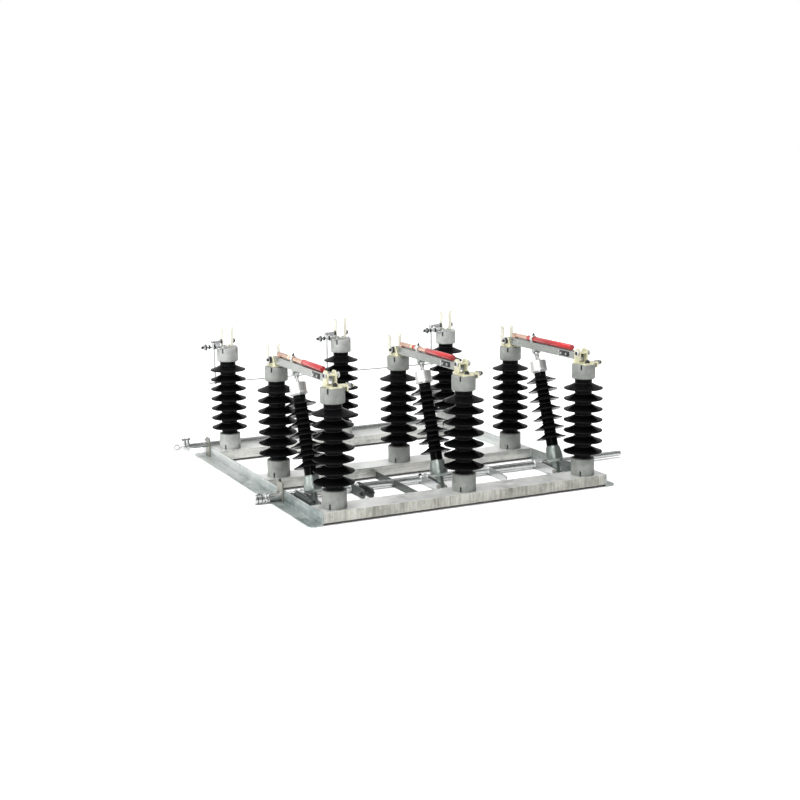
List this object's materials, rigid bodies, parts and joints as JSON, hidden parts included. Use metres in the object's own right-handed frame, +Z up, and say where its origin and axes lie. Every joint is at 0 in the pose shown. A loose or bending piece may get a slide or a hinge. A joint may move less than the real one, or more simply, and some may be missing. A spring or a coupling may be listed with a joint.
{
  "type": "substation disconnect switch",
  "caption": "Outdoor three-phase disconnect switch with fuse bases: ribbed black posts on a galvanised frame, lifting blades and a rotating operating shaft.",
  "frame": {"origin": "centre of the four ground bolt holes, on the underside of the side angles", "axes": "+X across the phases towards the long shaft end, +Y from the jaw row to the fuse row, +Z up"},
  "size_m": [1.741, 1.387, 0.5894],
  "materials": {
    "galvanised_steel": "hot-dip galvanised, spangled",
    "galvanised_cream": "hot-dip galvanised, matt and slightly yellow",
    "black_rubber": "glossy moulded silicone rubber",
    "grey_fitting": "satin cast fitting",
    "bright_fitting": "bright turned fitting",
    "tinned_copper": "tin-plated copper, pale cream",
    "blade_metal": "drawn plated channel",
    "copper_rod": "bare copper",
    "red_sleeve": "glossy red arc-quenching tube",
    "zinc_steel": "bright zinc plate"
  },
  "bodies": {
    "frame": {"left_side_angle": "galvanised_steel", "right_side_angle": "galvanised_steel", "middle_rail": "galvanised_steel", "rear_rail": "galvanised_steel", "front_rail": "galvanised_cream", "shaft_bearings": "galvanised_steel", "centre_tie": "galvanised_steel", "front_post_1": "black_rubber", "front_post_2": "black_rubber", "front_post_3": "black_rubber", "front_post_fittings": "grey_fitting", "middle_post_1": "black_rubber", "middle_post_2": "black_rubber", "middle_post_3": "black_rubber", "middle_post_fittings": "grey_fitting", "rear_post_1": "black_rubber", "rear_post_2": "black_rubber", "rear_post_3": "black_rubber", "rear_post_fittings": "grey_fitting", "blade_hinge_1": "tinned_copper", "blade_jaw_1": "tinned_copper", "blade_hinge_2": "tinned_copper", "blade_jaw_2": "tinned_copper", "blade_hinge_3": "tinned_copper", "blade_jaw_3": "tinned_copper", "middle_fuse_clips": "tinned_copper", "rear_fuse_clips": "tinned_copper", "rear_terminals": "zinc_steel"},
    "operating_shaft": {"operating_shaft": "zinc_steel"},
    "trip_shaft": {"trip_shaft": "zinc_steel"},
    "trip_rod": {"trip_rod": "zinc_steel"},
    "push_link_1": {"push_insulator_1": "black_rubber", "push_fittings_1": "bright_fitting"},
    "blade_1": {"blade_1": "blade_metal", "arc_rod_1": "copper_rod", "arc_tube_1": "red_sleeve"},
    "push_link_2": {"push_insulator_2": "black_rubber", "push_fittings_2": "bright_fitting"},
    "blade_2": {"blade_2": "blade_metal", "arc_rod_2": "copper_rod", "arc_tube_2": "red_sleeve"},
    "push_link_3": {"push_insulator_3": "black_rubber", "push_fittings_3": "bright_fitting"},
    "blade_3": {"blade_3": "blade_metal", "arc_rod_3": "copper_rod", "arc_tube_3": "red_sleeve"}
  },
  "joints": [
    {"name": "shaft_turn", "type": "hinge", "parent": "frame", "child": "operating_shaft", "pos_m": [0, -0.28, 0.02], "axis": [-1, 0, 0], "range_deg": [0, 62]},
    {"name": "trip_shaft_turn", "type": "hinge", "parent": "frame", "child": "trip_shaft", "pos_m": [0, 0.601, 0.058], "axis": [1, 0, 0], "range_deg": [0, 35]},
    {"name": "trip_rod_swing", "type": "hinge", "parent": "frame", "child": "trip_rod", "pos_m": [0, 0.61, 0.508], "axis": [1, 0, 0], "range_deg": [0, 20]},
    {"name": "blade_1_open", "type": "hinge", "parent": "frame", "child": "blade_1", "pos_m": [-0.54, -0.065, 0.522], "axis": [-1, 0, 0], "range_deg": [0, 45]},
    {"name": "push_1_swing", "type": "hinge", "parent": "operating_shaft", "child": "push_link_1", "pos_m": [-0.54, -0.44, 0.02], "axis": [-1, 0, 0], "range_deg": [-67, 0]},
    {"name": "blade_2_open", "type": "hinge", "parent": "frame", "child": "blade_2", "pos_m": [0, -0.065, 0.522], "axis": [-1, 0, 0], "range_deg": [0, 45]},
    {"name": "push_2_swing", "type": "hinge", "parent": "operating_shaft", "child": "push_link_2", "pos_m": [0, -0.44, 0.02], "axis": [-1, 0, 0], "range_deg": [-67, 0]},
    {"name": "blade_3_open", "type": "hinge", "parent": "frame", "child": "blade_3", "pos_m": [0.54, -0.065, 0.522], "axis": [-1, 0, 0], "range_deg": [0, 45]},
    {"name": "push_3_swing", "type": "hinge", "parent": "operating_shaft", "child": "push_link_3", "pos_m": [0.54, -0.44, 0.02], "axis": [-1, 0, 0], "range_deg": [-67, 0]}
  ],
  "couplings": [
    {"joint": "blade_1_open", "follows": "shaft_turn", "ratio": 0.72414},
    {"joint": "push_1_swing", "follows": "shaft_turn", "ratio": -1.0756},
    {"joint": "blade_2_open", "follows": "shaft_turn", "ratio": 0.72414},
    {"joint": "push_2_swing", "follows": "shaft_turn", "ratio": -1.0756},
    {"joint": "blade_3_open", "follows": "shaft_turn", "ratio": 0.72414},
    {"joint": "push_3_swing", "follows": "shaft_turn", "ratio": -1.0756}
  ]
}
